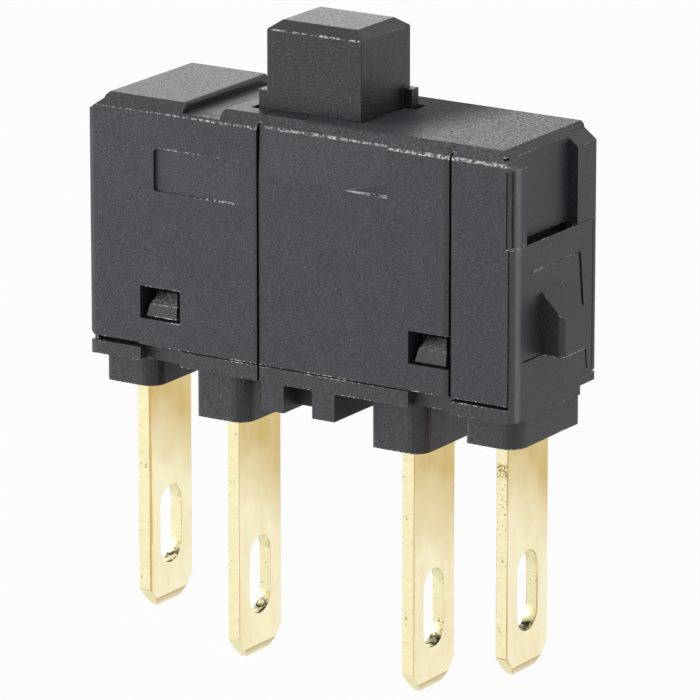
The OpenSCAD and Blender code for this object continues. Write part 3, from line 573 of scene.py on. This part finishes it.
def coil(start, end, radius, turns, closed, pitch, across):
    """Points of a coil round the line from start to end; "closed" turns at each end lie a pitch apart."""
    axis = end - start
    length = axis.length
    axis.normalize()
    u = (across - axis * across.dot(axis)).normalized()
    v = axis.cross(u)
    points = []
    for i in range(STEPS_PER_TURN * turns + 1):
        turn = i / STEPS_PER_TURN
        if turn < closed:
            along = turn * pitch
        elif turn > turns - closed:
            along = length - (turns - turn) * pitch
        else:
            open_share = (turn - closed) / (turns - 2 * closed)
            along = closed * pitch + open_share * (length - 2 * closed * pitch)
        angle = 2 * pi * turn
        points.append(start + axis * along + radius * (cos(angle) * u + sin(angle) * v))
    return points


def return_spring():
    """Coil under the plunger, with one closed turn at each end."""
    low, high = (Vector(corner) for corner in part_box("return_spring"))
    wire = RETURN_WIRE
    radius = (high.x - low.x) / 2 - wire
    middle = (low + high) / 2
    start = Vector((middle.x, middle.y, low.z + wire))
    end = Vector((middle.x, middle.y, high.z - wire))
    piece = tube("return_coil", coil(start, end, radius, RETURN_TURNS, 1, 2 * wire, Vector((1, 0, 0))), wire)
    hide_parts("return_spring")
    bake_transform(piece)


def snap_spring(name, node, side):
    """Toggle spring with a closed coil and a hook at each end."""
    low, high = (Vector(corner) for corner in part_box(node))
    yoke_low, yoke_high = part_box("spring_yoke")
    bridge_low, bridge_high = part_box("contact_bridge")
    wire = SNAP_WIRE
    inner = low.x if side > 0 else high.x
    outer = high.x if side > 0 else low.x
    start = Vector((inner + side * 1.5 * wire, 0, (yoke_low[2] + yoke_high[2]) / 2))
    end = Vector((outer - side * 1.5 * wire, 0, (bridge_low[2] + bridge_high[2]) / 2))
    radius = (high.y - low.y) / 2 - wire
    along = (end - start).normalized()
    coil_start = start + along * HOOK_LENGTH
    coil_end = end - along * HOOK_LENGTH
    turns = ceil((coil_end - coil_start).length / SNAP_PITCH)
    points = coil(coil_start, coil_end, radius, turns, 0, 0, Vector((0, 1, 0)))
    path = [start, start.lerp(points[0], 0.5)] + points + [end.lerp(points[-1], 0.5), end]
    piece = tube(name, path, wire, 10)
    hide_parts(node)
    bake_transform(piece)


return_spring()
snap_spring("snap_coil_left", "snap_spring_left", -1)
snap_spring("snap_coil_right", "snap_spring_right", 1)


# ---- stage ----

WHITE = 1.0
AMBIENT = 0.35
FLOOR_SIZE = 2.0
FLOOR_GAP = 0.01 * MM
FLOOR_SHADOW = 0.05


def white_rays(tree):
    """1 for the rays that see the background: camera, glossy and transmission rays."""
    path = tree.nodes.new("ShaderNodeLightPath")
    seen = math(tree, "MAXIMUM", path.outputs["Is Camera Ray"], path.outputs["Is Glossy Ray"])
    return math(tree, "MAXIMUM", seen, path.outputs["Is Transmission Ray"])


def backdrop_material(name, shadow):
    """Diffuse white that shows as pure white to the camera, with only "shadow" of its shading kept."""
    material = bpy.data.materials.new(name)
    material.use_nodes = True
    tree = material.node_tree
    tree.nodes.clear()
    output = tree.nodes.new("ShaderNodeOutputMaterial")
    diffuse = tree.nodes.new("ShaderNodeBsdfDiffuse")
    diffuse.inputs["Color"].default_value = (0.9, 0.9, 0.9, 1)
    glow = tree.nodes.new("ShaderNodeEmission")
    glow.inputs["Strength"].default_value = WHITE
    amount = math(tree, "MULTIPLY", white_rays(tree), 1 - shadow)
    blend = tree.nodes.new("ShaderNodeMixShader")
    link(tree, amount, blend.inputs["Fac"])
    link(tree, diffuse.outputs["BSDF"], blend.inputs[1])
    link(tree, glow.outputs["Emission"], blend.inputs[2])
    link(tree, blend.outputs["Shader"], output.inputs["Surface"])
    return material


def make_floor():
    low = cad_box[0]
    mesh = bpy.data.meshes.new("floor")
    shape = bmesh.new()
    bmesh.ops.create_grid(shape, x_segments=1, y_segments=1, size=FLOOR_SIZE)
    shape.to_mesh(mesh)
    shape.free()
    floor = bpy.data.objects.new("floor", mesh)
    floor.location = (0, 0, low[2] - FLOOR_GAP)
    bpy.context.scene.collection.objects.link(floor)
    mesh.materials.append(backdrop_material("floor_white", FLOOR_SHADOW))


def make_world():
    """Soft even light, seen as white by the rays that see the background."""
    world = bpy.data.worlds.new("world")
    bpy.context.scene.world = world
    world.use_nodes = True
    tree = world.node_tree
    tree.nodes.clear()
    output = tree.nodes.new("ShaderNodeOutputWorld")
    choice = tree.nodes.new("ShaderNodeMixShader")
    link(tree, white_rays(tree), choice.inputs["Fac"])
    for socket, strength in ((choice.inputs[1], AMBIENT), (choice.inputs[2], WHITE)):
        background = tree.nodes.new("ShaderNodeBackground")
        background.inputs["Color"].default_value = (1, 1, 1, 1)
        background.inputs["Strength"].default_value = strength
        link(tree, background.outputs["Background"], socket)
    link(tree, choice.outputs["Shader"], output.inputs["Surface"])


make_floor()
make_world()


# ---- light and camera ----

TARGET = Vector((0.232, 0.262, 0.717)) * MM
CAMERA_YAW = 32.442
CAMERA_PITCH = 15.644
CAMERA_DISTANCE = 0.25073
LENS = 355.09


def direction(yaw, pitch):
    """Unit vector from the target towards a place that many degrees round from the front, and up."""
    return Vector((
        sin(radians(yaw)) * cos(radians(pitch)),
        -cos(radians(yaw)) * cos(radians(pitch)),
        sin(radians(pitch)),
    ))


def area_light(name, yaw, pitch, distance, size, power):
    light = bpy.data.lights.new(name, "AREA")
    light.shape = "DISK"
    light.size = size
    light.energy = power
    lamp = bpy.data.objects.new(name, light)
    way = direction(yaw, pitch)
    lamp.location = TARGET + way * distance
    lamp.rotation_euler = way.to_track_quat("Z", "Y").to_euler()
    bpy.context.scene.collection.objects.link(lamp)


area_light("front", yaw=-66, pitch=4, distance=0.45, size=0.3, power=3.0)
area_light("behind", yaw=212, pitch=16, distance=0.3, size=0.1, power=0.05)

camera_data = bpy.data.cameras.new("camera")
camera_data.lens = LENS
camera_data.sensor_width = 36
camera_data.clip_start = 0.01
camera_data.clip_end = 10
camera = bpy.data.objects.new("camera", camera_data)
view_from = direction(CAMERA_YAW, CAMERA_PITCH)
camera.location = TARGET + view_from * CAMERA_DISTANCE
camera.rotation_euler = view_from.to_track_quat("Z", "Y").to_euler()
bpy.context.scene.collection.objects.link(camera)
bpy.context.scene.camera = camera
bpy.context.scene.view_settings.view_transform = "Standard"
